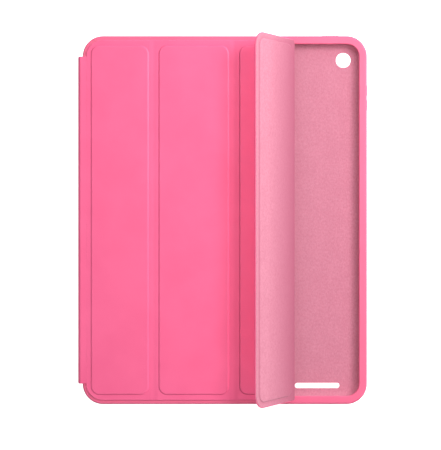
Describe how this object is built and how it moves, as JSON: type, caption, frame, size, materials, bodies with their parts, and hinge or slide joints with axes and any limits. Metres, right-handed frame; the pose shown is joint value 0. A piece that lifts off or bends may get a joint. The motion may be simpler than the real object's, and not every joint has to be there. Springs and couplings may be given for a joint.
{
  "type": "tablet case",
  "caption": "Folio case for a 9.7 inch tablet: moulded tray with overlapping lip, hinged spine, and a front cover of stiff panels that folds back along soft webs.",
  "frame": {"origin": "centre of the tray's flat back, on its outer face", "axes": "+Z out of the back towards the tablet's screen side, +Y towards the tablet's top edge, +X towards the cover's free edge, away from the spine"},
  "size_m": [0.1918, 0.2441, 0.0524],
  "materials": {
    "outer_skin": "satin pink polyurethane with a very fine grain",
    "lining": "matte pink microfibre",
    "tray_core": "moulded plastic",
    "stiffener": "flat board",
    "strip_steel": "rolled steel",
    "magnet": "nickel plate"
  },
  "bodies": {
    "tray": {"tray_skin": "outer_skin", "tray_core": "tray_core", "tray_lining": "lining"},
    "back_hinge": {"back_hinge_strip": "outer_skin"},
    "spine": {"spine_skin": "outer_skin", "spine_stiffener": "stiffener", "spine_lining": "lining", "cover_hinge_web": "outer_skin"},
    "panel_1": {"panel_1_skin": "outer_skin", "panel_1_board": "stiffener", "panel_1_lining": "lining", "fold_web_12": "outer_skin"},
    "panel_2": {"panel_2_skin": "outer_skin", "panel_2_board": "stiffener", "panel_2_lining": "lining", "stand_strip": "strip_steel", "fold_web_23": "outer_skin"},
    "panel_3": {"panel_3_skin": "outer_skin", "panel_3_board": "stiffener", "panel_3_lining": "lining", "fold_web_34": "outer_skin"},
    "panel_4": {"panel_4_skin": "outer_skin", "panel_4_board": "stiffener", "panel_4_lining": "lining", "latch_magnet_1": "magnet", "latch_magnet_2": "magnet", "latch_magnet_3": "magnet", "latch_magnet_4": "magnet", "latch_magnet_5": "magnet", "latch_magnet_6": "magnet", "sensor_magnet": "magnet"},
    "sleep_button": {"sleep_button_pad": "outer_skin"},
    "volume_up": {"volume_up_pad": "outer_skin"},
    "volume_down": {"volume_down_pad": "outer_skin"}
  },
  "joints": [
    {"name": "back_hinge_fold", "type": "hinge", "parent": "tray", "child": "back_hinge", "pos_m": [-0.0939, 0, 0.0004], "axis": [0, -1, 0], "range_deg": [0, 135]},
    {"name": "spine_fold", "type": "hinge", "parent": "back_hinge", "child": "spine", "pos_m": [-0.09588, 0, 0.00238], "axis": [0, -1, 0], "range_deg": [0, 135]},
    {"name": "cover_hinge", "type": "hinge", "parent": "spine", "child": "panel_1", "pos_m": [-0.09534, 0, 0.01271], "axis": [0, -1, 0], "range_deg": [0, 90], "deforming": ["cover_hinge_web"]},
    {"name": "fold_12", "type": "hinge", "parent": "panel_1", "child": "panel_2", "pos_m": [-0.04695, 0, 0.0137], "axis": [0, 1, 0], "range_deg": [-130, 0], "deforming": ["fold_web_12"]},
    {"name": "fold_23", "type": "hinge", "parent": "panel_2", "child": "panel_3", "pos_m": [0.0061, 0, 0.0137], "axis": [0, 1, 0], "range_deg": [-90, 0], "deforming": ["fold_web_23"]},
    {"name": "fold_34", "type": "hinge", "parent": "panel_3", "child": "panel_4", "pos_m": [0.0452, 0, 0.0137], "axis": [0, 1, 0], "range_deg": [-16, 125], "deforming": ["fold_web_34"]},
    {"name": "sleep_button_press", "type": "slide", "parent": "tray", "child": "sleep_button", "axis": [0, -1, 0], "range_m": [0, 0.0005], "stiffness_N_per_m": 400},
    {"name": "volume_up_press", "type": "slide", "parent": "tray", "child": "volume_up", "axis": [-1, 0, 0], "range_m": [0, 0.0005], "stiffness_N_per_m": 400},
    {"name": "volume_down_press", "type": "slide", "parent": "tray", "child": "volume_down", "axis": [-1, 0, 0], "range_m": [0, 0.0005], "stiffness_N_per_m": 400}
  ]
}
